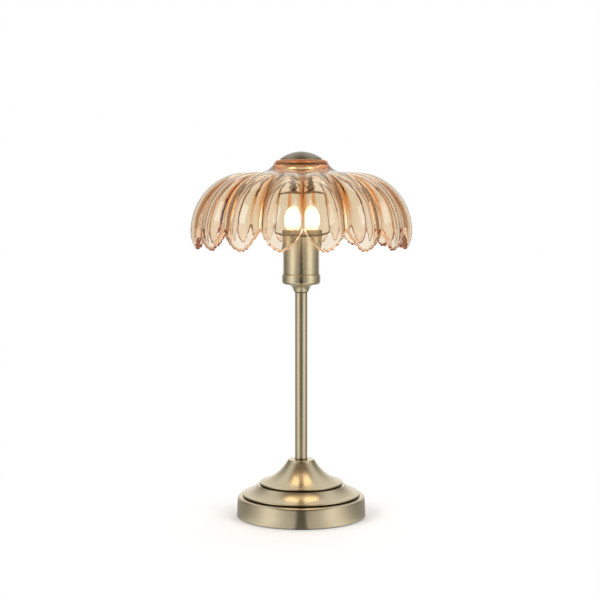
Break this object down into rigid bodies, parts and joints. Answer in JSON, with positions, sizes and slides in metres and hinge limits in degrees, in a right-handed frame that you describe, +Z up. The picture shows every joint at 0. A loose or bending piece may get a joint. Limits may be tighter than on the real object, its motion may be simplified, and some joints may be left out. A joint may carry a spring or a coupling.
{
  "type": "tulip shade table lamp",
  "caption": "Table lamp: stepped brass base, slim stem, small screw lampholder in a cup and a pressed glass petal shade on a bracket under a domed screw cap.",
  "frame": {"origin": "on the table, under the middle of the stem", "axes": "+Z up along the stem, +Y to the back where the cable inlet is, +X to the right seen from the front"},
  "size_m": [0.2218, 0.2218, 0.3699],
  "materials": {
    "foam_pad": "matt foam",
    "steel_plate": "plain rolled",
    "cast_weight": "rough cast",
    "aged_brass": "antique, brushed round",
    "black_bush": "moulded",
    "plated_steel": "zinc plated",
    "holder_plastic": "moulded",
    "contact_brass": "bright pressed",
    "bracket_brass": "antique",
    "soft_washer": "translucent soft",
    "champagne_glass": "pressed, lustred",
    "solder": "soldered",
    "black_glass": "fired glass",
    "bulb_cap": "rolled thread",
    "opal_glass": "opal, lit"
  },
  "bodies": {
    "stand": {"foot_pad": "foam_pad", "base_plate": "steel_plate", "base_weight": "cast_weight", "base_shell": "aged_brass", "cable_gland": "black_bush", "base_nut": "plated_steel", "base_washer": "plated_steel", "tie_rod": "plated_steel", "stem_tube": "aged_brass", "stem_neck": "aged_brass", "cup_collar": "aged_brass", "cup_nut": "plated_steel", "cup_sleeve": "aged_brass", "lampholder_base": "holder_plastic", "terminal_screws": "plated_steel", "lampholder_skirt": "holder_plastic", "screw_shell": "contact_brass", "side_contact": "contact_brass", "centre_contact": "contact_brass", "clamp_ring": "holder_plastic", "shade_bracket": "bracket_brass", "shade_stud": "bracket_brass", "bracket_nuts": "bracket_brass", "seat_nut": "bracket_brass", "seat_plate": "bracket_brass", "seat_washer": "soft_washer"},
    "shade": {"glass_shade": "champagne_glass"},
    "cap_carrier": {"cap_washer": "soft_washer"},
    "cap": {"cap_dome": "aged_brass", "cap_insert": "contact_brass"},
    "bulb_carrier": {"bulb_tip": "solder", "bulb_foot": "black_glass"},
    "bulb": {"bulb_screw": "bulb_cap", "bulb_globe": "opal_glass"}
  },
  "joints": [
    {"name": "shade_lift", "type": "slide", "parent": "stand", "child": "shade", "axis": [0, 0, 1], "range_m": [0, 0.1]},
    {"name": "cap_rise", "type": "slide", "parent": "shade", "child": "cap_carrier", "axis": [0, 0, 1], "range_m": [0, 0.0041]},
    {"name": "cap_turn", "type": "hinge", "parent": "cap_carrier", "child": "cap", "pos_m": [0, 0, 0.3], "axis": [0, 0, 1], "range_deg": [0, 1440]},
    {"name": "bulb_rise", "type": "slide", "parent": "stand", "child": "bulb_carrier", "axis": [0, 0, 1], "range_m": [0, 0.01138]},
    {"name": "bulb_turn", "type": "hinge", "parent": "bulb_carrier", "child": "bulb", "pos_m": [0, 0, 0.3], "axis": [0, 0, 1], "range_deg": [0, 1440]}
  ],
  "couplings": [
    {"joint": "cap_rise", "follows": "cap_turn", "m_per_rad": 0.00015915},
    {"joint": "bulb_rise", "follows": "bulb_turn", "m_per_rad": 0.00044882}
  ]
}
